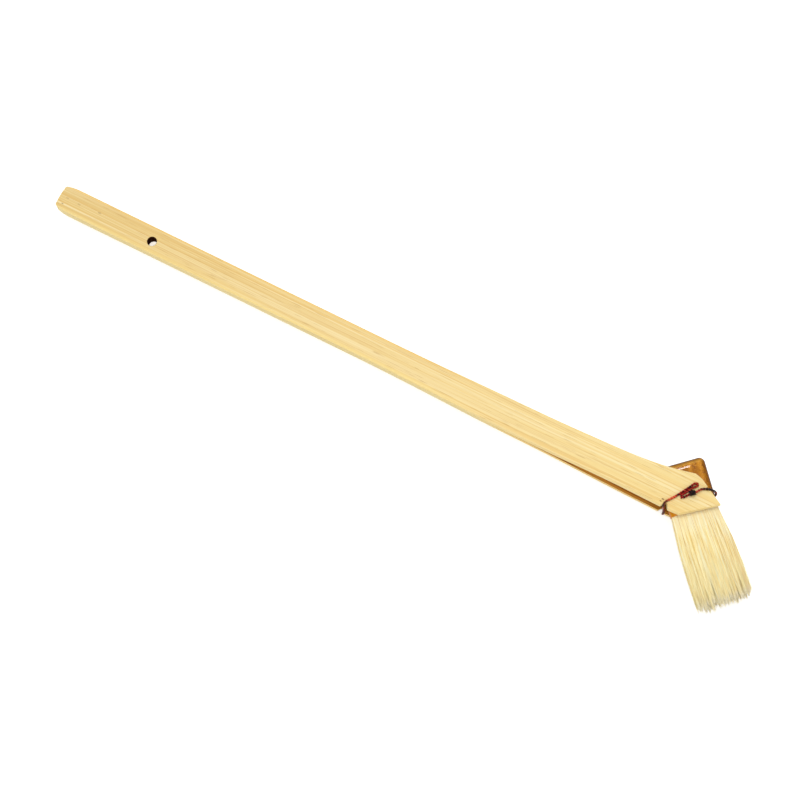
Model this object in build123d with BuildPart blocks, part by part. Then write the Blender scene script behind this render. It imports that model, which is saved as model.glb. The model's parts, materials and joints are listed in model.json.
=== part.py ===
"""Flat hair brush set at an angle on a split bamboo strip.

One bamboo strip is split along its middle from the head end. The two tongues are sprung
open over a flat sheet-metal sleeve that holds the hair, and one turn of twisted copper wire,
laid in notches on both edges, draws the tongues together over the sleeve.

Units are millimetres. While it is being drawn the brush lies along +X, tail end at the
origin, with the split plane at z = 0 and the front face up. At the end everything is moved
so that the origin is under the middle of the whole brush.
"""

import os
from math import atan, cos, degrees, hypot, radians, sin, tan
from random import Random

from build123d import *

os.makedirs("parts", exist_ok=True)

# --- Bamboo strip -----------------------------------------------------------------------
handle_length = 300.0  # tail end to the sharp corner of the head
strip_width = 11.1  # the parallel tail half
strip_thickness = 5.5
parallel_length = 145.0  # from the tail end to where the strip starts to widen
edge_round = 0.45  # hand-scraped edges of the two outer faces

tail_ease_length = 6.3  # long shallow rounding of the two tail corners
tail_ease_depth = 0.95
tail_bulge = 0.3  # the end cut is very slightly convex
tail_corner_round = 0.9

hole_from_tail = 44.8  # hanging hole, bored a little below the middle of the strip
hole_drop = 0.7
hole_diameter = 4.0
hole_rim = 0.2  # broken edge round the hole

# --- Split and tongues ------------------------------------------------------------------
split_length = 95.0  # from the head corner back to the end of the split
split_gap = 0.2
split_point = 4.0  # the split closes to a line over this length
bend_length = 53.0  # where each tongue leaves the strip and lies parallel again
flat_length = 32.0  # the parallel ends of the tongues, measured from the head corner

# Outline of the head, measured back from the sharp corner and out from the strip's edges
corner_height = 3.95  # the sharp corner, above the middle line
shoulder_back = 10.8
shoulder_out = 4.55
peak_back = 13.9
peak_out = 5.4
peak_slope = 0.26  # rise of the upper edge where it reaches the peak
peak_round = 1.2
heel_back = 12.8  # lower end of the end cut
heel_out = 1.35
lower_corner_back = 17.0
lower_corner_out = 1.55
lower_corner_slope = 0.012  # fall of the lower edge where it reaches its corner

# How far the two edges swell outside the parallel strip, on the way to the head
upper_out_at_split = 0.65
upper_near_back = 32.0
upper_near_out = 2.05
upper_far_back = 55.0
upper_far_out = 1.0
lower_out_at_split = 1.05
lower_far_back = 45.0
lower_far_out = 1.2

# --- Notches for the wire ---------------------------------------------------------------
notch_half_angle = 38.0
lower_notch_back = 19.3  # bottom of the deep notch in the lower edge
lower_notch_height = -5.0
upper_notch_back = 7.4  # bottom of the shallow notch in the upper edge
upper_notch_height = 6.65
upper_notch_turn = -29.3  # square to the edge it is cut in
notch_reach = 6.0

# --- Metal sleeve -----------------------------------------------------------------------
sleeve_angle = 46.6  # between the handle and the hair
mouth_back = 7.9  # middle of the mouth, back from the sharp corner
mouth_height = -2.05
sleeve_length = 20.3
mouth_width = 19.12
sleeve_thickness = 5.6
wedge_angle = 2.8  # each side leans in towards the mouth, so the glued bundle can't pull out
sleeve_wall = 0.35
sleeve_corner = 2.3  # in the corners of the closed end
sleeve_round = 1.9  # round the narrow sides and the closed end
seat_gap = 0.05  # between tongue and sleeve, and between sleeve and bundle

# --- Hair -------------------------------------------------------------------------------
bundle_recess = 0.6  # the bound bundle ends just inside the mouth
bundle_depth = 8.0  # below this the roots are set in glue
hair_length = 37.2  # from the mouth, on the middle line
hair_slant = 0.105  # the left hairs are longer than the right ones
hair_ragged = 0.9  # how far single hairs differ in length
corner_trim = 1.2  # the outermost hairs are shorter by this
belly_length = 18.0  # the tuft widens up to here and then runs straighter
belly_spread = 1.085
tip_spread = 1.15
strands_wide = 38
strands_deep = 9
strand_root = 0.42
strand_belly = 0.38
strand_tip = 0.16
strand_set = 1.0  # how deep each strand starts inside the bundle
strand_seed = 5

# --- Binding wire -----------------------------------------------------------------------
wire_diameter = 0.95  # two fine enamelled wires twisted into one cord
cord_sides = 8
cord_flat_turn = 180 / cord_sides  # a flat, not a corner, lies on the bamboo
wire_seat = 0.08  # between the cord and the faces it lies on
wire_side_gap = 0.3  # between the cord and the sleeve's narrow side, at the mouth
wire_turn = 1.1  # radius where it goes over an edge
wire_side_turn = 1.2  # radius at the two ends of its run down the sleeve's side
wire_bow = 9.0  # its slack bends on the front face
wire_lift_bow = 2.5  # where it rises off the face and comes back to it
wire_eye = 0.7  # inside the bend of the eye, to the middle of the cord
wire_over_gap = 0.45  # free space where it passes over its own end
wire_sample = 0.2  # spacing of the points its clearance is measured on
least_wire_gap = 0.4

# Where the cord lies, across and back from the middle of the sleeve's mouth
cord_tail = (-4.7, 5.45)  # its folded-back end, lying over the end of the eye
cord_knot = (0.7, 5.95)
cord_off_eye = (2.9, 6.3)
cord_before_notch = (5.2, 6.7)
cord_over_upper_edge = (7.5, 6.4)
cord_beside_sleeve_back = 3.9
cord_side_run = 3.4  # length of the straight run down the sleeve's side
cord_in_front_notch = (-10.95, 5.0)
cord_in_back_notch = (-11.0, 4.35)  # it leans towards the mouth on its way to the back
cord_rise = (-7.7, 6.35)
cord_twist = (-4.1, 7.4)
cord_shank = (0.4, 8.5)
cord_eye_top = (3.0, 9.15)
cord_eye_side = (4.35, 8.3)
cord_eye_end = (0.3, 6.05)

cut_margin = 1.0  # how far a blank reaches past the outline that is cut from it
touching = 0.001  # two lengths closer than this are the same


half_width = strip_width / 2
half_thickness = strip_thickness / 2
tongue_rise = sleeve_thickness / 2 + seat_gap - split_gap / 2
bend_angle = 2 * degrees(atan(tongue_rise / bend_length))
bend_radius = bend_length / 2 / sin(radians(bend_angle))
bend_start = handle_length - flat_length - bend_length
split_start = handle_length - split_length


def from_corner(back, height):
    """A point of the head's outline, from its distance behind the sharp corner."""
    return (handle_length - back, height)


# Where the sleeve lies: x across its width, y from the mouth back to the closed end.
sleeve_plane = Plane(
    origin=from_corner(mouth_back, mouth_height) + (0,),
    x_dir=(sin(radians(sleeve_angle)), cos(radians(sleeve_angle)), 0),
    z_dir=(0, 0, 1),
)


# --- bamboo_handle ----------------------------------------------------------------------
# A notch is a V from two knife cuts, drawn with its bottom at the origin, opening along +Y.
with BuildSketch() as notch:
    side = notch_reach * tan(radians(notch_half_angle))
    Polygon((0, 0), (side, notch_reach), (-side, notch_reach), align=None)


def bent_edge(height):
    """One face of a tongue, seen from the side: flat, two tangent arcs, flat."""
    spread = JernArc((bend_start, height), (1, 0), bend_radius, bend_angle)
    settle = JernArc(spread @ 1, spread % 1, bend_radius, -bend_angle)
    return spread @ 0, settle @ 1


with BuildPart() as bamboo_handle:
    # Side view: the strip with its split, the tongues sprung open. Upper half, then mirrored.
    with BuildSketch(Plane.XZ) as side_view:
        with BuildLine():
            outer_start, outer_end = bent_edge(half_thickness)
            inner_start, inner_end = bent_edge(split_gap / 2)
            past_head = handle_length + cut_margin
            Polyline((split_start, 0), (0, 0), (0, half_thickness), outer_start)
            Polyline(outer_end, (past_head, outer_end.Y), (past_head, inner_end.Y), inner_end)
            Polyline(inner_start, (split_start + split_point, split_gap / 2), (split_start, 0))
        make_face()
        mirror(about=Plane.XZ)
    extrude(amount=strip_width * 2, both=True)

    # Front view: the outline that was shaped before the strip was split.
    with BuildSketch() as front_view:
        with BuildLine():
            lower_corner = from_corner(lower_corner_back, -half_width - lower_corner_out)
            heel = from_corner(heel_back, -half_width - heel_out)
            sharp_corner = from_corner(0, corner_height)
            shoulder = from_corner(shoulder_back, half_width + shoulder_out)
            peak = from_corner(peak_back, half_width + peak_out)
            tail_end_height = half_width - tail_ease_depth
            Line((tail_ease_length, -half_width), (parallel_length, -half_width))
            Spline(
                (parallel_length, -half_width),
                (split_start, -half_width - lower_out_at_split),
                from_corner(lower_far_back, -half_width - lower_far_out),
                lower_corner,
                tangents=((1, 0), (1, -lower_corner_slope)),
            )
            Polyline(lower_corner, heel, sharp_corner, shoulder, peak)
            Spline(
                peak,
                from_corner(upper_near_back, half_width + upper_near_out),
                from_corner(upper_far_back, half_width + upper_far_out),
                (split_start, half_width + upper_out_at_split),
                (parallel_length, half_width),
                tangents=((-1, -peak_slope), (-1, 0)),
            )
            Line((parallel_length, half_width), (tail_ease_length, half_width))
            upper_ease = TangentArc(
                (tail_ease_length, half_width), (tail_bulge, tail_end_height), tangent=(-1, 0)
            )
            lower_ease = TangentArc(
                (tail_ease_length, -half_width), (tail_bulge, -tail_end_height), tangent=(-1, 0)
            )
            ThreePointArc(upper_ease @ 1, (0, 0), lower_ease @ 1)
        make_face()
        tail_corners = front_view.vertices().sort_by(Axis.X)[:2]
        fillet(tail_corners, radius=tail_corner_round)
        peak_corners = front_view.vertices().sort_by(Axis.Y)[-1:]
        fillet(peak_corners, radius=peak_round)
        lower_notch = from_corner(lower_notch_back, lower_notch_height)
        upper_notch = from_corner(upper_notch_back, upper_notch_height)
        with Locations(Location(lower_notch + (0,), (0, 0, 180))):
            add(notch.sketch, mode=Mode.SUBTRACT)
        with Locations(Location(upper_notch + (0,), (0, 0, upper_notch_turn))):
            add(notch.sketch, mode=Mode.SUBTRACT)
    extrude(amount=strip_thickness * 2, both=True, mode=Mode.INTERSECT)

    # The rims of the two outer faces. The edges the tongues were split along stay sharp.
    outer_faces = bamboo_handle.faces().filter_by(
        lambda face: face.center().Z * face.normal_at().Z > split_gap
    )
    fillet(outer_faces.edges().filter_by(Axis.Y, reverse=True), radius=edge_round)

    with Locations((hole_from_tail, -hole_drop, 0)):
        Hole(radius=hole_diameter / 2)
    hole_edges = bamboo_handle.edges().filter_by(GeomType.CIRCLE).filter_by(
        lambda edge: abs(edge.radius - hole_diameter / 2) < touching
    )
    chamfer(hole_edges, length=hole_rim)


# --- Sleeve, glue and hair --------------------------------------------------------------
# These three are drawn in the sleeve's own frame: the middle of the mouth at the origin, the
# closed end along +Y and the hair along -Y. They are turned into place at the end.
def sleeve_outline(inset):
    """The wedge-shaped front view of the sleeve, or of what fits inside it."""
    half_mouth = mouth_width / 2 - inset
    depth = sleeve_length - inset
    half_end = half_mouth + depth * tan(radians(wedge_angle))
    with BuildSketch() as outline:
        Polygon((-half_mouth, 0), (half_mouth, 0), (half_end, depth), (-half_end, depth), align=None)
        closed_end = outline.vertices().sort_by(Axis.Y)[-2:]
        fillet(closed_end, radius=sleeve_corner - inset)
    return outline.sketch


def long_edges(part, thickness):
    """The edges of the two flat faces, except the two across the mouth."""
    flats = part.edges().filter_by(
        lambda edge: abs(abs(edge.center().Z) - thickness / 2) < touching
    )
    return flats.filter_by(lambda edge: edge.center().Y > touching)


bundle_inset = sleeve_wall + seat_gap
bundle_thickness = sleeve_thickness - 2 * bundle_inset
bundle_round = sleeve_round - bundle_inset
glue_face = Plane.XZ.offset(-bundle_depth)
bundle_face = Plane.XZ.offset(-bundle_recess)

# --- ferrule ----------------------------------------------------------------------------
with BuildPart() as cavity:
    add(sleeve_outline(sleeve_wall))
    extrude(amount=sleeve_thickness / 2 - sleeve_wall, both=True)
    fillet(
        long_edges(cavity.part, sleeve_thickness - 2 * sleeve_wall),
        radius=sleeve_round - sleeve_wall,
    )

with BuildPart() as ferrule:
    add(sleeve_outline(0))
    extrude(amount=sleeve_thickness / 2, both=True)
    fillet(long_edges(ferrule.part, sleeve_thickness), radius=sleeve_round)
    add(cavity.part, mode=Mode.SUBTRACT)


# --- root_glue --------------------------------------------------------------------------
with BuildPart() as root_glue:
    add(sleeve_outline(bundle_inset))
    extrude(amount=bundle_thickness / 2, both=True)
    chamfer(long_edges(root_glue.part, bundle_thickness), length=bundle_round)
    split(bisect_by=glue_face, keep=Keep.BOTTOM)


# --- hair_tuft --------------------------------------------------------------------------
def strand(across, through, length):
    """One tapered three-sided hair; it leans out with its place in the bundle."""
    lean = (length - belly_length) / (hair_length - belly_length)
    spread = belly_spread + (tip_spread - belly_spread) * lean
    with BuildPart() as hair:
        for reach, factor, width in (
            (-bundle_recess - strand_set, 1.0, strand_root),
            (belly_length, belly_spread, strand_belly),
            (length, spread, strand_tip),
        ):
            with BuildSketch(Plane.XZ.offset(reach)):
                with Locations((across * factor, through * factor)):
                    RegularPolygon(radius=width / 2, side_count=3)
        loft(ruled=True)
    return hair.part


ragged = Random(strand_seed)
half_mouth = mouth_width / 2 - bundle_inset
across_pitch = (2 * half_mouth - 2 * strand_root) / (strands_wide - 0.5)
through_pitch = (bundle_thickness - 2 * strand_root) / (strands_deep - 1)
strands = []
for row in range(strands_deep):
    through = (row - (strands_deep - 1) / 2) * through_pitch
    for column in range(strands_wide):
        across = (column - (strands_wide - 1) / 2 + (row % 2 - 0.5) / 2) * across_pitch
        past_corner = (
            abs(across) - half_mouth + bundle_round,
            abs(through) - bundle_thickness / 2 + bundle_round,
        )
        if min(past_corner) > 0 and hypot(*past_corner) > bundle_round - strand_root:
            continue  # outside the rounded corner of the bundle
        middle_length = hair_length - hair_slant * across
        trim = corner_trim * (abs(across) / half_mouth) ** 6 + hair_ragged * ragged.uniform(-0.4, 0.6)
        strands.append(strand(across, through, middle_length - trim))

with BuildPart() as hair_tuft:
    add(sleeve_outline(bundle_inset))
    extrude(amount=bundle_thickness / 2, both=True)
    fillet(long_edges(hair_tuft.part, bundle_thickness), radius=bundle_round)
    split(bisect_by=glue_face, keep=Keep.TOP)
    split(bisect_by=bundle_face, keep=Keep.BOTTOM)
    add(strands)


# --- binding_wire -----------------------------------------------------------------------
# One cord: from its folded tail over the end of the eye, over the upper notch, round the
# sleeve's edge, across the back, up through the lower notch and on to the eye on the front.
front = half_thickness + tongue_rise + wire_diameter / 2 + wire_seat
lifted = front + wire_diameter + wire_over_gap
beside_sleeve = (mouth_width / 2 + wire_diameter / 2 + wire_side_gap, cord_beside_sleeve_back)
with BuildPart() as binding_wire:
    with BuildLine(sleeve_plane) as wire_path:
        FilletPolyline(
            cord_tail + (lifted,),
            cord_knot + (lifted,),
            cord_off_eye + (lifted,),
            cord_before_notch + (front,),
            cord_over_upper_edge + (front,),
            beside_sleeve + (cord_side_run / 2,),
            beside_sleeve + (-cord_side_run / 2,),
            cord_over_upper_edge + (-front,),
            cord_in_back_notch + (-front,),
            cord_in_front_notch + (front,),
            cord_rise + (front,),
            cord_twist + (front,),
            cord_shank + (front,),
            cord_eye_top + (front,),
            cord_eye_side + (front,),
            cord_eye_end + (front,),
            radius=(
                wire_bow,
                wire_lift_bow,
                wire_lift_bow,
                wire_turn,
                wire_side_turn,
                wire_side_turn,
                wire_turn,
                wire_turn,
                wire_turn,
                wire_bow,
                wire_bow,
                wire_bow,
                wire_eye,
                wire_eye,
            ),
        )
    with BuildSketch(Plane(origin=wire_path.line @ 0, z_dir=wire_path.line % 0)) as cord_section:
        RegularPolygon(wire_diameter / 2, cord_sides, rotation=cord_flat_turn)
    sweep()


def least_gap(path, diameter):
    """Least free space between two stretches of the cord that aren't neighbours."""
    count = int(path.length / wire_sample)
    points = [path @ (index / count) for index in range(count + 1)]
    apart = int(4 * diameter / wire_sample)
    return min(
        (points[i] - points[j]).length
        for i in range(len(points))
        for j in range(i + apart, len(points))
    ) - diameter


cord = wire_path.wire()
wire_gap = least_gap(cord, wire_diameter)
swept_volume = cord_section.sketch.area * cord.length
print(f"wire: least gap to itself {wire_gap:.2f} mm, must be over {least_wire_gap}")
print(f"wire: volume {binding_wire.part.volume:.2f}, section times length {swept_volume:.2f}")
print(f"hair: {len(strands)} strands")

# --- Origin and files -------------------------------------------------------------------
pieces = {
    "bamboo_handle": bamboo_handle.part,
    "ferrule": ferrule.part.moved(sleeve_plane.location),
    "root_glue": root_glue.part.moved(sleeve_plane.location),
    "hair_tuft": hair_tuft.part.moved(sleeve_plane.location),
    "binding_wire": binding_wire.part,
}
whole = Compound(children=[piece.moved(Location()) for piece in pieces.values()]).bounding_box()
to_origin = Location((-whole.center().X, -whole.center().Y, -whole.min.Z))
for name, piece in pieces.items():
    placed = piece.moved(to_origin)
    placed.label = name
    export_step(placed, f"parts/{name}.step")
hole_center = Vector(hole_from_tail, -hole_drop, 0) + to_origin.position
back_face = Vector(parallel_length / 2, 0, -half_thickness) + to_origin.position
print(f"origin: moved by {to_origin.position}")
print(f"hanging hole: centre {hole_center}, wall {strip_thickness - 2 * hole_rim} mm long")
print(f"back face: a point on it {back_face}")
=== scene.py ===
import json
import math
import random

import bpy
from mathutils import Matrix, Vector


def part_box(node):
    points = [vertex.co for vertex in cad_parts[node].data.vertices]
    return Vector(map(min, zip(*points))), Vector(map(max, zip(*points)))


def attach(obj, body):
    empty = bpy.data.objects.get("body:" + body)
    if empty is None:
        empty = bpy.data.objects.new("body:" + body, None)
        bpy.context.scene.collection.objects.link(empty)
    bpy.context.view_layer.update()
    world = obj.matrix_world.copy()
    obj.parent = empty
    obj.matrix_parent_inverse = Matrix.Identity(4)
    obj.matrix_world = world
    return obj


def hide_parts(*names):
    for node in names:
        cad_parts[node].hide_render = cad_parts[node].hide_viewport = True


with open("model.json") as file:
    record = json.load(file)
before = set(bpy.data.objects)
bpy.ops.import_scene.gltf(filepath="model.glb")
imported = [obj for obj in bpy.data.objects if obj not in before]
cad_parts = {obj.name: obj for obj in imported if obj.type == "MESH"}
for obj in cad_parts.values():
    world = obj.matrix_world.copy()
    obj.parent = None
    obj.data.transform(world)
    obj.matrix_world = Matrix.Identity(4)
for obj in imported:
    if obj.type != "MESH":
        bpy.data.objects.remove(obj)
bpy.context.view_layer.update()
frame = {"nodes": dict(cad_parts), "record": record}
bpy.ops.object.select_all(action="DESELECT")

# Bamboo strip: one flat strip sawn from a thick culm, scraped on all faces and split along its
# middle from the head, so that its two tongues spring apart over the metal sleeve. The hanging
# hole is burnt through with a hot iron, and the fibres run from end to end.
MM = 0.001
strip_low, strip_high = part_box("bamboo_handle")
mounts = {mount["name"]: mount for mount in frame["record"]["mounts"]}
hole_x, hole_y, strip_middle_z = mounts["hanging_hole"]["pos_m"]
hole_radius = mounts["hanging_hole"]["dims"]["r_mm"] * MM
strip_middle_y = mounts["back_face"]["pos_m"][1]
scraped_roughness = 0.5
charred_roughness = 1.0
fibre_relief = 0.06 * MM


def tint(red, green, blue):
    """The linear colour of a paint-chart value from 0 to 255."""
    return tuple(
        (value / 255 / 12.92) if value < 10.3 else ((value / 255 + 0.055) / 1.055) ** 2.4
        for value in (red, green, blue)
    ) + (1.0,)


def new_finish(name, roughness, **on_shader):
    """A finish with one plain shader, whose constants are set on the shader itself."""
    finish = bpy.data.materials.new(name)
    finish.use_nodes = True
    shader = finish.node_tree.nodes["Principled BSDF"]
    shader.inputs["Roughness"].default_value = roughness
    for socket, value in on_shader.items():
        shader.inputs[socket.replace("_", " ")].default_value = value
    return finish


def feed_shader(finish, socket, output):
    """Links an output to one input of the finish's shader."""
    finish.node_tree.links.new(output, finish.node_tree.nodes["Principled BSDF"].inputs[socket])


def step(finish, kind, feeds, output=0, **settings):
    """Adds a node, feeds its inputs from (input, value or output) pairs, and returns its output."""
    node = finish.node_tree.nodes.new("ShaderNode" + kind)
    for setting, value in settings.items():
        setattr(node, setting, value)
    for socket, value in feeds:
        if isinstance(value, bpy.types.NodeSocket):
            finish.node_tree.links.new(value, node.inputs[socket])
        else:
            node.inputs[socket].default_value = value
    return node.outputs[output]


def work_out(finish, operation, first, second=0.0):
    """One operation of arithmetic."""
    return step(finish, "Math", [(0, first), (1, second)], operation=operation)


def axes(finish, place):
    """The three numbers of a place or a direction, each on its own."""
    return [step(finish, "SeparateXYZ", [(0, place)], axis) for axis in range(3)]


def ease(finish, value, low, high, bottom=0.0, top=1.0):
    """A soft step from bottom to top as value goes from low to high."""
    return step(finish, "MapRange", [
        ("Value", value), ("From Min", low), ("From Max", high), ("To Min", bottom), ("To Max", top)],
        interpolation_type="SMOOTHSTEP")


def lay_over(finish, amount, under, over):
    """One colour laid over another by an amount from 0 to 1."""
    return step(finish, "Mix", [(0, amount), (6, under), (7, over)], 2, data_type="RGBA")


def tinge(finish, under, over, value, low, high, amount=1.0):
    """One colour laid over another by an amount that grows as value goes from low to high."""
    return lay_over(finish, ease(finish, value, low, high, 0, amount), under, over)


def blotches(finish, place, per_metre, detail=2.0, at=(0.0, 0.0, 0.0)):
    """Soft noise with so many blotches to the metre along each direction, about 0.5 on average."""
    stretched = step(finish, "Mapping", [("Vector", place), ("Location", at), ("Scale", per_metre)])
    return step(finish, "TexNoise", [("Vector", stretched), ("Scale", 1.0), ("Detail", detail)])


def colour_bands(finish, value, stops):
    """A colour that changes along a value, through (value, colour) stops."""
    band = finish.node_tree.nodes.new("ShaderNodeValToRGB")
    finish.node_tree.links.new(value, band.inputs[0])
    while len(band.color_ramp.elements) < len(stops):
        band.color_ramp.elements.new(0.5)
    for element, (at, colour) in zip(band.color_ramp.elements, stops):
        element.position = at
        element.color = colour
    return band.outputs[0]


def apart(finish, place, centre_x, centre_y, squash):
    """The distance from an upright line, with each direction squashed by its share."""
    moved = step(finish, "Mapping", [("Vector", place), ("Location", (-centre_x, -centre_y, 0))])
    moved = step(finish, "VectorMath", [(0, moved), (1, squash)], operation="MULTIPLY")
    return step(finish, "VectorMath", [(0, moved)], 1, operation="LENGTH")


def wear_finish(obj, finish):
    """The whole object gets this one finish."""
    obj.data.materials.clear()
    obj.data.materials.append(finish)


bamboo = new_finish("scraped_bamboo", roughness=scraped_roughness, Specular_IOR_Level=0.1)
place = step(bamboo, "TexCoord", [], "Object")
x, y, z = axes(bamboo, place)
facing_up = axes(bamboo, step(bamboo, "TexCoord", [], "Normal"))[2]
above_middle = work_out(bamboo, "SUBTRACT", y, strip_middle_y)
above_split = work_out(bamboo, "SUBTRACT", z, strip_middle_z)

along = step(bamboo, "MapRange", [("Value", x), ("From Min", strip_low.x), ("From Max", strip_high.x)])
skin = colour_bands(bamboo, along, [
    (0.0, tint(226, 196, 128)), (0.2, tint(234, 205, 138)), (0.6, tint(242, 215, 150)),
    (1.0, tint(244, 217, 146))])
lanes = blotches(bamboo, place, (4, 420, 60))
lines = blotches(bamboo, place, (7, 1500, 130), 1.0, (6, 2, 9))
fibres = blotches(bamboo, place, (14, 2300, 150), 3.0)
bundles = blotches(bamboo, place, (130, 2900, 400), 1.0, (3, 5, 7))
for grain, low, high, amount, colour in (
    (lanes, 0.45, 0.72, 0.34, tint(240, 198, 116)), (lanes, 0.5, 0.28, 0.35, tint(249, 230, 182)),
    (lines, 0.52, 0.72, 0.34, tint(224, 184, 114)), (lines, 0.46, 0.28, 0.4, tint(253, 238, 188)),
    (fibres, 0.52, 0.7, 0.5, tint(216, 172, 100)), (fibres, 0.46, 0.3, 0.42, tint(254, 240, 196)),
    (bundles, 0.62, 0.74, 0.42, tint(190, 148, 88)),
):
    skin = tinge(bamboo, skin, colour, grain, low, high, amount)

# Lanes along the two long edges before the split: orange along the edge towards +y, and along the edge
# towards -y a pale lane that is a painted highlight on its rounded corner.
before_bend = ease(bamboo, x, 45 * MM, 0)
for inner, outer, amount, colour in (
    (4.0 * MM, 5.3 * MM, 0.5, tint(241, 194, 106)), (-3.9 * MM, -5.3 * MM, 0.55, tint(253, 229, 152)),
):
    rim = ease(bamboo, above_middle, inner, outer, 0, amount)
    skin = lay_over(bamboo, work_out(bamboo, "MULTIPLY", rim, before_bend), skin, colour)

sawn = tinge(bamboo, tint(236, 216, 156), tint(252, 216, 132), x, 30 * MM, 60 * MM)
sawn = tinge(bamboo, sawn, tint(253, 230, 160), above_split, 0.7 * MM, 1.7 * MM)
side_lines = blotches(bamboo, place, (9, 90, 1700), 2.0, (4, 4, 4))
sawn = tinge(bamboo, sawn, tint(210, 172, 106), side_lines, 0.5, 0.68, 0.5)
sawn = tinge(bamboo, sawn, tint(255, 240, 194), side_lines, 0.46, 0.32, 0.45)
skin = tinge(bamboo, skin, sawn, work_out(bamboo, "ABSOLUTE", facing_up), 0.75, 0.35, 0.85)

# The inner faces of the split are painted dark orange-brown in torn patches: painted shade of the gap
# between the tongues.
inward = work_out(bamboo, "MULTIPLY", facing_up, work_out(bamboo, "SIGN", above_split))
torn = blotches(bamboo, place, (40, 900, 900), 4.0, (1, 2, 3))
painted_split_shade = tinge(bamboo, tint(172, 102, 22), tint(228, 162, 66), torn, 0.35, 0.65)
skin = tinge(bamboo, skin, painted_split_shade, inward, -0.3, -0.7)

from_hole = apart(bamboo, place, hole_x, hole_y, (1, 1, 0))
scorched = ease(bamboo, from_hole, hole_radius + 0.14 * MM, hole_radius + 0.04 * MM)
char = lay_over(bamboo, fibres, tint(44, 14, 2), tint(78, 34, 8))
skin = lay_over(bamboo, scorched, skin, char)

front_face = work_out(bamboo, "MULTIPLY", ease(bamboo, facing_up, 0.5, 0.9),
                      ease(bamboo, above_split, 0.5 * MM, 2.0 * MM))
for speck_x, speck_y, reach, strength in (
    (-158.9, 5.5, 0.28, 0.55), (-158.2, 8.6, 0.4, 0.22), (-152.5, 8.28, 0.4, 0.2),
    (-142.9, 8.87, 0.45, 0.28), (117.0, 4.05, 0.33, 0.8), (116.5, 2.95, 0.24, 0.8),
):
    from_speck = apart(bamboo, place, speck_x * MM, speck_y * MM, (0.45, 1, 0))
    mark = ease(bamboo, from_speck, reach * MM, 0.6 * reach * MM, 0, strength)
    skin = lay_over(bamboo, work_out(bamboo, "MULTIPLY", mark, front_face), skin, tint(112, 66, 16))

feed_shader(bamboo, "Base Color", skin)
roughness = ease(bamboo, scorched, 0, 1, scraped_roughness, charred_roughness)
feed_shader(bamboo, "Roughness", roughness)
scraped = work_out(bamboo, "ADD", fibres, work_out(bamboo, "MULTIPLY", bundles, 0.6))
relief = step(bamboo, "Bump", [("Strength", 0.4), ("Distance", fibre_relief), ("Height", scraped)])
feed_shader(bamboo, "Normal", relief)
wear_finish(frame["nodes"]["bamboo_handle"], bamboo)

# Metal sleeve: a flat pocket of thin sheet, folded and closed at the root end, open at the mouth
# and dipped in gold-brown lacquer. Its colour holds painted reflections, dark along the rounded folds.
# The tongues clamp it, and a shallow crease across it near the root end catches the light.
sleeve_mouth = Vector((130.197, 6.461, 6.501)) * MM
sleeve_turn = math.radians(43.4)
sleeve_across = Vector((math.cos(sleeve_turn), math.sin(sleeve_turn), 0))
sleeve_back = Vector((-math.sin(sleeve_turn), math.cos(sleeve_turn), 0))
sleeve_length = 20.3 * MM
sleeve_half_width = 9.56 * MM
sleeve_splay = 0.049
crease_back = 17.6 * MM
crease_rise = 0.0345
coat_weight = 0.19


def sleeve_place(finish):
    """Object coordinates turned so that they run across and along the sleeve from its mouth."""
    place = step(finish, "TexCoord", [], "Object")
    return step(finish, "Mapping", [
        ("Vector", place), ("Location", sleeve_mouth), ("Rotation", (0, 0, sleeve_turn))],
        vector_type="TEXTURE")


lacquer = new_finish("gold_brown_lacquer", roughness=0.36, Metallic=0.2, Specular_IOR_Level=0.2,
                     Specular_Tint=tint(170, 110, 50), Coat_Roughness=0.07)
place = sleeve_place(lacquer)
across, along = axes(lacquer, place)[:2]
runs = blotches(lacquer, place, (300, 160, 300), 3.0)
clouds = blotches(lacquer, place, (900, 650, 900), 4.0, (2, 0, 5))
flecks = blotches(lacquer, place, (2200, 1700, 2200), 2.0, (7, 3, 1))
coat = tinge(lacquer, tint(140, 84, 2), tint(180, 120, 26), runs, 0.35, 0.65)
coat = tinge(lacquer, coat, tint(112, 60, 2), clouds, 0.48, 0.68, 0.85)
coat = tinge(lacquer, coat, tint(208, 146, 72), flecks, 0.55, 0.7, 0.5)
# Painted reflections: orange from the bamboo near the mouth, and a lighter band on the rounded shoulder
# near the closed end.
coat = tinge(lacquer, coat, tint(216, 136, 18), along, 7.0 * MM, 1.0 * MM, 0.75)
coat = tinge(lacquer, coat, tint(192, 142, 56), along, 18.1 * MM, 18.8 * MM, 0.6)

from_side = work_out(lacquer, "SUBTRACT", work_out(lacquer, "MULTIPLY", along, sleeve_splay),
                     work_out(lacquer, "ABSOLUTE", across))
from_side = work_out(lacquer, "ADD", from_side, sleeve_half_width)
from_end = work_out(lacquer, "SUBTRACT", sleeve_length, along)
from_fold = work_out(lacquer, "MINIMUM", from_side, from_end)
# Painted dark reflection: dark lines along the rounded sides and the closed end, fading out towards the
# mouth.
away_from_mouth = ease(lacquer, along, 1.5 * MM, 6.0 * MM)
for wide, narrow, amount, colour in (
    (1.6 * MM, 0.6 * MM, 0.5, tint(122, 70, 8)), (0.75 * MM, 0.35 * MM, 0.95, tint(70, 34, 2)),
):
    fold = ease(lacquer, from_fold, wide, narrow, 0, amount)
    coat = lay_over(lacquer, work_out(lacquer, "MULTIPLY", away_from_mouth, fold), coat, colour)
feed_shader(lacquer, "Base Color", coat)
feed_shader(lacquer, "Coat Weight", ease(lacquer, from_fold, 0.3 * MM, 1.3 * MM, 0, coat_weight))

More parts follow.
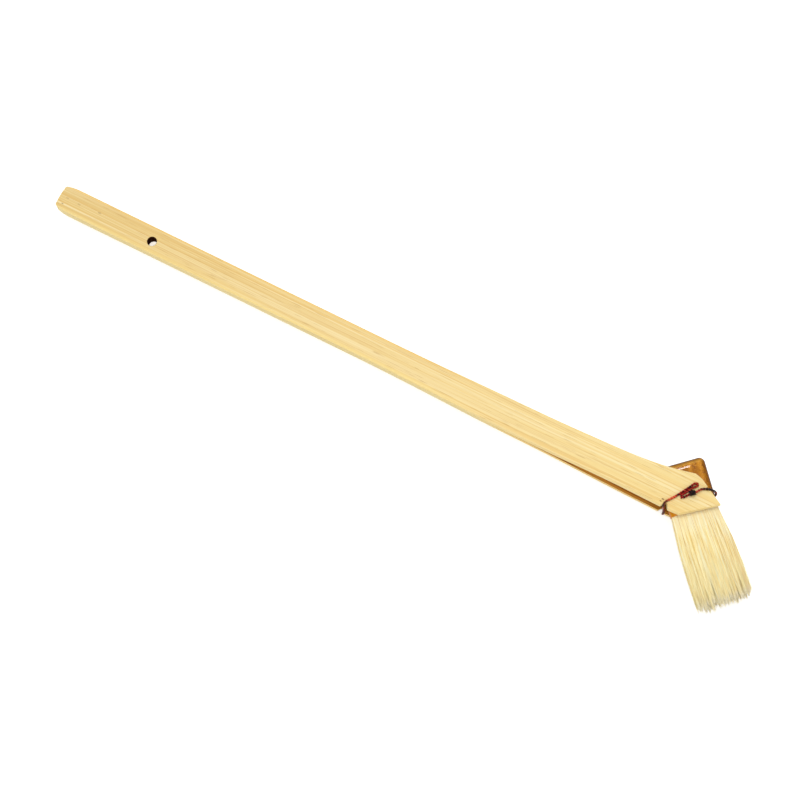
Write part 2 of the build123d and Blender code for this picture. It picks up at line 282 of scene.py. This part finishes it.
crease = step(lacquer, "MapRange", [
    ("Value", along), ("From Min", crease_back + 0.3 * MM), ("From Max", crease_back - 0.35 * MM),
    ("To Min", 0), ("To Max", crease_rise)])
for direction, low, high in (
    (along, crease_back - 3.5 * MM, crease_back - 0.5 * MM),
    (across, -2.6 * MM, -1.0 * MM), (across, 4.8 * MM, 3.4 * MM),
):
    crease = work_out(lacquer, "MULTIPLY", crease, ease(lacquer, direction, low, high))
dents = blotches(lacquer, place, (90, 130, 90), 1.0, (4, 1, 0))
pressed = work_out(lacquer, "ADD", work_out(lacquer, "MULTIPLY", dents, 0.1), crease)
relief = step(lacquer, "Bump", [("Strength", 1.0), ("Distance", 1.0 * MM), ("Height", pressed)])
feed_shader(lacquer, "Normal", relief)
feed_shader(lacquer, "Coat Normal", relief)
wear_finish(frame["nodes"]["ferrule"], lacquer)

# Root glue: the hair roots are dipped and pushed into the closed end of the sleeve, where the
# glue sets to a hard amber mass. It hides inside the metal.
glue = new_finish("set_amber_glue", roughness=0.35)
bubbles = blotches(glue, sleeve_place(glue), (500, 500, 500), 3.0)
amber = tinge(glue, tint(120, 78, 30), tint(178, 128, 62), bubbles, 0.4, 0.65)
feed_shader(glue, "Base Color", amber)
wear_finish(frame["nodes"]["root_glue"], glue)

# Hair: some thousands of straight pale animal hairs, square across and a little longer at the
# left. They leave the mouth close together, flare a little, part into locks and end in fine,
# nearly white tips. Sides run from -1, left, to 1, right, and depths from -1, back, to 1, front.
hair_rng = random.Random(20)
mouth_half_width = 9.05 * MM
mouth_half_depth = 2.2 * MM
flare = 2.25 * MM
flare_reach = 14.0 * MM
hair_root_depth = 3.0 * MM
hair_length = 38.0 * MM
left_longer = 0.2 * MM
right_shorter = 1.5 * MM
right_corner = 0.3
outside_shorter = 0.8 * MM
parting_side = -0.81
parting_half_width = 0.06
parting_depth = 3.6 * MM
belly = 0.12
belly_end = 0.6
tip_thinning = 0.22
round_side = 0.93
round_side_depth = 0.8
hair_root_radius = 0.075 * MM
hair_tip_radius = 0.026 * MM
flat_outwards = math.pi / 6
ring_shares = (0.0, 0.16, 0.42, 0.72, 0.86, 0.97, 1.0)
hair_layers = 16
outer_hairs = 5008
middle_hairs = 2608
middle_depth = 0.35
lock_count = 200
lock_draw = 0.65
wispy_locks = 0.22
stray_hairs = 0.06
usual_tone = 0.62

locks = []
for _ in range(lock_count):
    wisp = hair_rng.uniform(0.5, 1.5) if hair_rng.random() < wispy_locks else 0
    locks.append({
        "side": hair_rng.uniform(-1, 1), "group": hair_rng.randrange(4),
        "longer": (hair_rng.gauss(-0.1, 0.55) + wisp) * MM, "lean": hair_rng.gauss(0, 0.25) * MM})
broad_streaks = [hair_rng.gauss(0, 0.05) for _ in range(46)]
fine_streaks = [hair_rng.gauss(0, 0.12) for _ in range(150)]


def streak(side, streaks):
    """The tone that neighbouring hairs share at a side."""
    at = (side + 1) / 2 * (len(streaks) - 1.001)
    first = int(at)
    return streaks[first] + (streaks[first + 1] - streaks[first]) * (at - first)


def half_width_at(reach):
    """Half the width of the bundle at a distance from the mouth."""
    return mouth_half_width + flare * (1 - math.exp(-max(reach, 0) / flare_reach))


def tip_reach(side):
    """How far the hairs reach past the mouth at a side."""
    shorter = right_shorter * max(0, (side - right_corner) / (1 - right_corner)) ** 1.5
    parting = parting_depth * max(0, 1 - abs(side - parting_side) / parting_half_width)
    return hair_length - left_longer * side - shorter - parting


def hair_line(side, depth, length, bow, lean, tip_side=None):
    """The middle line of one hair, from inside the sleeve to a tip that may be drawn to one side."""
    line = []
    for share in ring_shares:
        reach = -hair_root_depth + share * (length + hair_root_depth)
        out = max(reach, 0) / length
        drawn = side if tip_side is None else side + (tip_side - side) * lock_draw * out ** 5
        sideways = half_width_at(reach) * drawn + bow * math.sin(math.pi * out) + lean * out * out
        swell = 1 + belly * math.sin(math.pi * min(out, belly_end)) - tip_thinning * out * out
        height = Vector((0, 0, depth * mouth_half_depth * swell))
        line.append(sleeve_mouth + sleeve_across * sideways - sleeve_back * reach + height)
    return line


def add_hair(bundle, line, tone, turn, thickness):
    """Adds one tapering three-sided hair along a line, closed at its root and pointed at its tip."""
    start = len(bundle["points"])
    turn += hair_rng.gauss(0, 0.15)
    for point, share in zip(line[:-1], ring_shares):
        radius = thickness * (hair_root_radius + (hair_tip_radius - hair_root_radius) * share ** 1.5)
        for corner in range(3):
            angle = turn + math.tau * corner / 3
            around = sleeve_across * math.cos(angle) + Vector((0, 0, math.sin(angle)))
            bundle["points"].append(point + around * radius)
            bundle["shares"].append(share)
    bundle["points"].append(line[-1])
    bundle["shares"].append(1.0)
    bundle["faces"].append((start, start + 2, start + 1))
    for ring in range(len(line) - 2):
        base = start + ring * 3
        for corner in range(3):
            turned = (corner + 1) % 3
            bundle["faces"].append((base + corner, base + turned, base + 3 + turned, base + 3 + corner))
    base, tip = start + (len(line) - 2) * 3, len(bundle["points"]) - 1
    for corner in range(3):
        bundle["faces"].append((base + corner, base + (corner + 1) % 3, tip))
    bundle["tones"].extend([tone] * (len(bundle["points"]) - start))


def grow_bundle(count, lowest, highest):
    """Many hairs in even layers between two depths, each with its own tone, length and lean."""
    bundle = {"points": [], "faces": [], "tones": [], "shares": []}
    for index in range(count):
        layer, place_in_layer = index % hair_layers, index // hair_layers
        side = -1 + 2 * (place_in_layer + hair_rng.random()) * hair_layers / count
        depth = lowest + (highest - lowest) * layer / (hair_layers - 1)
        if abs(side) > round_side:
            depth *= round_side_depth
        group = int((depth + 1) * 1.99)
        lock = min((lock for lock in locks if lock["group"] == group),
                   key=lambda lock: abs(lock["side"] - side))
        length = tip_reach(side) + lock["longer"] + hair_rng.triangular(-3.0, 0.7, 0.3) * MM
        length -= outside_shorter * depth ** 2
        lean = lock["lean"] + hair_rng.gauss(0, 0.15) * MM
        if hair_rng.random() < stray_hairs:
            length += hair_rng.uniform(0.2, 1.5) * MM
            lean += hair_rng.gauss(0, 0.9) * MM
        tone = usual_tone + streak(side, broad_streaks) + streak(side, fine_streaks)
        tone = min(1, max(0, tone + hair_rng.gauss(0, 0.12)))
        bow = hair_rng.gauss(0, 0.22) * MM
        line = hair_line(side, depth, length, bow, lean, lock["side"])
        thickness = hair_rng.uniform(0.75, 1.2)
        add_hair(bundle, line, tone, math.copysign(flat_outwards, depth), thickness)
    return bundle


def bundle_object(name, bundle, finish):
    """A mesh of hairs that stands for the hair of the solid model."""
    mesh = bpy.data.meshes.new(name)
    mesh.from_pydata(bundle["points"], [], bundle["faces"])
    mesh.attributes.new("tone", "FLOAT", "POINT").data.foreach_set("value", bundle["tones"])
    mesh.attributes.new("share", "FLOAT", "POINT").data.foreach_set("value", bundle["shares"])
    made = bpy.data.objects.new(name, mesh)
    bpy.context.collection.objects.link(made)
    wear_finish(made, finish)
    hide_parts("hair_tuft")
    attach(made, "root")


hair = new_finish("pale_animal_hair", roughness=0.5, Specular_IOR_Level=0.3, Sheen_Weight=0.35)
place = sleeve_place(hair)
across, along = axes(hair, place)[:2]
tone = step(hair, "Attribute", [], "Fac", attribute_name="tone")
share = step(hair, "Attribute", [], "Fac", attribute_name="share")
colour = colour_bands(hair, tone, [
    (0.0, tint(204, 156, 74)), (0.25, tint(242, 208, 126)), (0.5, tint(254, 234, 164)),
    (0.75, tint(255, 246, 198)), (1.0, tint(255, 254, 236))])
warm = blotches(hair, place, (2100, 55, 300), 2.0)
colour = tinge(hair, colour, tint(250, 218, 124), warm, 0.5, 0.64, 0.6)
flecks = blotches(hair, place, (2500, 130, 500), 2.0, (1, 6, 2))
colour = tinge(hair, colour, tint(255, 250, 214), flecks, 0.52, 0.64, 0.5)
colour = tinge(hair, colour, tint(234, 202, 118), flecks, 0.47, 0.35, 0.45)
worn_side = work_out(hair, "MULTIPLY", ease(hair, across, 0.5 * MM, 5.5 * MM),
                     ease(hair, along, -6 * MM, -15 * MM))
brown = blotches(hair, place, (2100, 60, 300), 2.0, (3, 1, 4))
brown = work_out(hair, "MULTIPLY", worn_side, ease(hair, brown, 0.46, 0.66, 0, 0.7))
colour = lay_over(hair, brown, colour, tint(226, 184, 104))
# Painted light: the hairs grow lighter towards their ends, making up for the shade between the spreading
# hairs.
colour = tinge(hair, colour, tint(255, 242, 182), share, 0.4, 0.75, 0.35)
colour = tinge(hair, colour, tint(246, 234, 200), along, -10 * MM, -1 * MM, 0.4)
colour = tinge(hair, colour, tint(246, 244, 234), share, 0.93, 1.0, 0.6)
feed_shader(hair, "Base Color", colour)

front = grow_bundle(outer_hairs, middle_depth, 1.0)
for depth, length, tone, thickness, sides_and_leans in (
    (0.5, 35.6 * MM, 0.9, 0.8, ((1.0, 1.5), (0.985, 0.95))),
    (1.03, 36.0 * MM, 0.02, 1.2, ((-0.235, 0.25), (-0.8, 0.6), (-0.52, 0.5), (0.42, 0.3), (0.68, 0.2),
                                  (-0.13, -0.3))),
):
    for side, lean in sides_and_leans:
        line = hair_line(side, depth, length, 0.1 * MM, lean * MM)
        add_hair(front, line, tone, flat_outwards, thickness)
bundle_object("hair_front", front, hair)
bundle_object("hair_middle", grow_bundle(middle_hairs, -middle_depth, middle_depth), hair)
bundle_object("hair_back", grow_bundle(outer_hairs, -1.0, -middle_depth), hair)

# Binding wire: one length of dark red enamelled copper, doubled and twisted into a pair. It lies
# once round both tongues in their notches. On the front its eye is hooked by the other end,
# which is wound tight on itself and folded flat to the left.
wire_radius = 0.26 * MM
pair_offset = 0.27 * MM
pair_pitch = 2.2 * MM
knot_offset = 0.92 * MM
knot_pitch = 0.5 * MM
band_step = 0.16 * MM
knot_step = 0.08 * MM


def sleeve_point(across, back, height):
    """A point given in millimetres across and along the sleeve and above its middle."""
    return sleeve_mouth + (sleeve_across * across + sleeve_back * back + Vector((0, 0, height))) * MM


def smooth_line(points, gap):
    """Evenly spaced points on the smooth curve that these points control."""
    curve = bpy.data.curves.new("line", "CURVE")
    curve.dimensions = "3D"
    curve.resolution_u = 24
    spline = curve.splines.new("NURBS")
    spline.points.add(len(points) - 1)
    for control, point in zip(spline.points, points):
        control.co = (*point, 1)
    spline.order_u = 3
    spline.use_endpoint_u = True
    drawn = bpy.data.objects.new("line", curve)
    mesh = bpy.data.meshes.new_from_object(drawn)
    corners = [vertex.co.copy() for vertex in mesh.vertices]
    bpy.data.objects.remove(drawn)
    bpy.data.meshes.remove(mesh)
    even, walked = [corners[0]], 0.0
    for a, b in zip(corners, corners[1:]):
        run = (b - a).length
        while run > 0 and walked + run >= gap:
            a = a + (b - a) * ((gap - walked) / run)
            even.append(a)
            run = (b - a).length
            walked = 0.0
        walked += run
    return even


def wind_round(line, offset, pitch, start_angle):
    """A helix that winds round a line at an offset, one turn for each pitch."""
    ahead = (line[1] - line[0]).normalized()
    beside = ahead.orthogonal().normalized()
    wound, walked = [], 0.0
    for index, point in enumerate(line):
        later = line[min(index + 1, len(line) - 1)]
        earlier = line[max(index - 1, 0)]
        ahead = (later - earlier).normalized()
        beside = (beside - ahead * beside.dot(ahead)).normalized()
        walked += (point - earlier).length
        angle = start_angle + math.tau * walked / pitch
        wound.append(point + offset * (math.cos(angle) * beside + math.sin(angle) * ahead.cross(beside)))
    return wound


def wire_piece(name, lines, finish):
    """Round wires along lines of points, made one mesh."""
    curve = bpy.data.curves.new(name, "CURVE")
    curve.dimensions = "3D"
    curve.bevel_depth = wire_radius
    curve.bevel_resolution = 2
    curve.use_fill_caps = True
    for line in lines:
        spline = curve.splines.new("POLY")
        spline.points.add(len(line) - 1)
        for knot, point in zip(spline.points, line):
            knot.co = (*point, 1)
    piece = bpy.data.objects.new(name, curve)
    bpy.context.collection.objects.link(piece)
    bpy.ops.object.select_all(action="DESELECT")
    piece.select_set(True)
    bpy.context.view_layer.objects.active = piece
    bpy.ops.object.convert(target="MESH")
    bpy.ops.object.shade_smooth()
    wear_finish(piece, finish)
    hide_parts("binding_wire")
    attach(piece, "root")


enamel = new_finish("dark_red_enamel", roughness=0.3, Metallic=0.3, Specular_IOR_Level=0.3)
place = sleeve_place(enamel)
across = axes(enamel, place)[0]
across_share = step(enamel, "MapRange", [("Value", across), ("From Min", -12 * MM), ("From Max", 12 * MM)])
red = colour_bands(enamel, across_share, [
    (0.0, tint(70, 24, 14)), (0.08, tint(150, 60, 34)), (0.14, tint(222, 96, 50)),
    (0.24, tint(206, 66, 34)), (0.32, tint(158, 22, 12)), (0.56, tint(150, 20, 10)),
    (0.64, tint(176, 48, 20)), (0.7, tint(96, 12, 6)), (0.78, tint(24, 4, 3))])
# Noise spots on the wire: the light pink ones are painted highlights, the others near black.
spot_noise = blotches(enamel, place, (620, 620, 620), 3.0)
red = tinge(enamel, red, tint(232, 112, 84), spot_noise, 0.54, 0.68, 0.7)
red = tinge(enamel, red, tint(16, 2, 2), spot_noise, 0.48, 0.36, 0.9)
feed_shader(enamel, "Base Color", red)

# The knot's coil is near black, with dark red spots: its dark enamel with painted shade of the tight
# twist.
dark_enamel_and_shade = new_finish("black_red_enamel_and_painted_shade", roughness=0.3, Specular_IOR_Level=0.15)
spot_noise = blotches(dark_enamel_and_shade, sleeve_place(dark_enamel_and_shade), (700, 700, 700), 3.0)
black = tinge(dark_enamel_and_shade, tint(6, 2, 2), tint(56, 10, 8), spot_noise, 0.45, 0.72)
feed_shader(dark_enamel_and_shade, "Base Color", black)

front_height = 6.0
back_height = -5.96
band = smooth_line([sleeve_point(*at) for at in (
    (-4.3, 6.5, front_height), (-2.3, 7.1, front_height), (-0.1, 7.8, front_height),
    (1.6, 8.25, front_height), (2.9, 8.3, front_height), (3.75, 8.6, front_height),
    (3.7, 9.35, front_height), (2.8, 9.75, front_height), (1.6, 9.3, front_height),
    (-1.3, 8.35, front_height), (-3.9, 7.55, front_height), (-6.7, 6.75, front_height),
    (-9.2, 6.3, front_height), (-10.5, 6.05, front_height), (-11.3, 5.5, front_height - 0.05),
    (-11.75, 5.1, 5.2), (-11.7, 4.9, 3.4), (-11.25, 4.45, 0.6), (-11.0, 4.0, -2.2),
    (-11.0, 3.75, -4.4), (-11.1, 3.7, -5.7), (-10.6, 3.95, back_height), (-8.0, 4.5, back_height),
    (2.0, 5.8, back_height), (6.2, 6.3, back_height), (7.3, 5.9, back_height),
    (8.5, 5.4, -5.25), (9.7, 4.8, -3.7), (10.35, 4.3, -2.2), (10.35, 4.1, 0.0), (10.35, 4.3, 2.2),
    (9.7, 4.8, 3.7), (8.5, 5.4, 5.25), (7.3, 5.95, front_height - 0.03), (6.2, 6.4, front_height),
    (4.7, 6.75, front_height), (3.4, 6.55, front_height + 0.25), (2.1, 6.15, front_height + 0.55),
    (0.3, 6.1, front_height + 0.6), (-1.2, 5.95, front_height + 0.4), (-2.6, 5.7, front_height + 0.1),
    (-3.6, 5.65, front_height), (-4.5, 5.85, front_height))], band_step)
pair = [wind_round(band, pair_offset, pair_pitch, start_angle) for start_angle in (0, math.pi)]
wire_piece("binding_wire_band", pair, enamel)

knot = smooth_line([sleeve_point(*at) for at in (
    (-0.8, 6.3, front_height + 0.62), (0.4, 6.25, front_height + 0.7),
    (1.65, 6.1, front_height + 0.62))], knot_step)
wire_piece("binding_wire_knot", [wind_round(knot, knot_offset, knot_pitch, 0)], dark_enamel_and_shade)

# Table and light: a white table under a wide soft lamp toward the top of the picture, a wider and
# weaker one toward its bottom, and a small bare bulb that draws the streak on the lacquer. The
# camera is the one that took the photograph, close above the brush and turned on its side.
table_glow = 0.55
sky_on_brush = 0.68
sky_in_view = 1.0
bpy.ops.mesh.primitive_plane_add(size=6.0, location=(0, 0, 0))
table = bpy.context.object
table.name = "table"


def in_view(owner):
    """One for a ray that the camera sees straight, reflected or through something clear, else nought."""
    seen = work_out(owner, "MAXIMUM", step(owner, "LightPath", [], "Is Camera Ray"),
                    step(owner, "LightPath", [], "Is Glossy Ray"))
    return work_out(owner, "MAXIMUM", seen, step(owner, "LightPath", [], "Is Transmission Ray"))


paper = new_finish("white_table", roughness=0.9, Specular_IOR_Level=0.0, Emission_Color=(1, 1, 1, 1))
tooth = blotches(paper, step(paper, "TexCoord", [], "Object"), (60, 60, 60), 3.0)
white = lay_over(paper, tooth, (0.84, 0.84, 0.84, 1), (0.86, 0.86, 0.86, 1))
feed_shader(paper, "Base Color", white)
feed_shader(paper, "Emission Strength", work_out(paper, "MULTIPLY", in_view(paper), table_glow))
wear_finish(table, paper)

studio = bpy.data.worlds.new("studio")
bpy.context.scene.world = studio
studio.use_nodes = True
sky = studio.node_tree.nodes["Background"]
sky.inputs["Color"].default_value = (1, 1, 1, 1)
sky_level = step(studio, "MapRange", [
    ("Value", in_view(studio)), ("To Min", sky_on_brush), ("To Max", sky_in_view)])
studio.node_tree.links.new(sky_level, sky.inputs["Strength"])


def hang_lamp(name, strength, spread, shine):
    """A far lamp of a strength and an angle of spread, that shines along a direction."""
    lamp_data = bpy.data.lights.new(name, "SUN")
    lamp_data.energy = strength
    lamp_data.angle = math.radians(spread)
    lamp = bpy.data.objects.new(name, lamp_data)
    bpy.context.collection.objects.link(lamp)
    lamp.rotation_euler = Vector(shine).to_track_quat("-Z", "Y").to_euler()


hang_lamp("soft_box", 0.66, 45, (0.30, -0.25, -0.92))
hang_lamp("fill_box", 0.4, 60, (-0.10, 0.72, -0.68))
hang_lamp("bare_bulb", 0.3, 4, (0.054, -0.363, -0.93))

camera_data = bpy.data.cameras.new("camera")
camera_data.lens = 77.806
camera_data.sensor_width = 36.0
camera = bpy.data.objects.new("camera", camera_data)
bpy.context.collection.objects.link(camera)
eye = Vector((108.097, -182.089, 673.751)) * MM
aim = Vector((6.042, -6.279, 9.251)) * MM
roll = math.radians(26.201)
forward = (aim - eye).normalized()
level_line = (Vector((1, 0, 0)) - forward * forward.x).normalized()
drop = forward.cross(level_line)
picture_right = math.cos(roll) * level_line - math.sin(roll) * drop
picture_down = math.sin(roll) * level_line + math.cos(roll) * drop
camera.matrix_world = (
    Matrix.Translation(eye) @ Matrix((picture_right, -picture_down, -forward)).transposed().to_4x4())
bpy.context.scene.camera = camera
bpy.context.scene.view_settings.view_transform = "Standard"
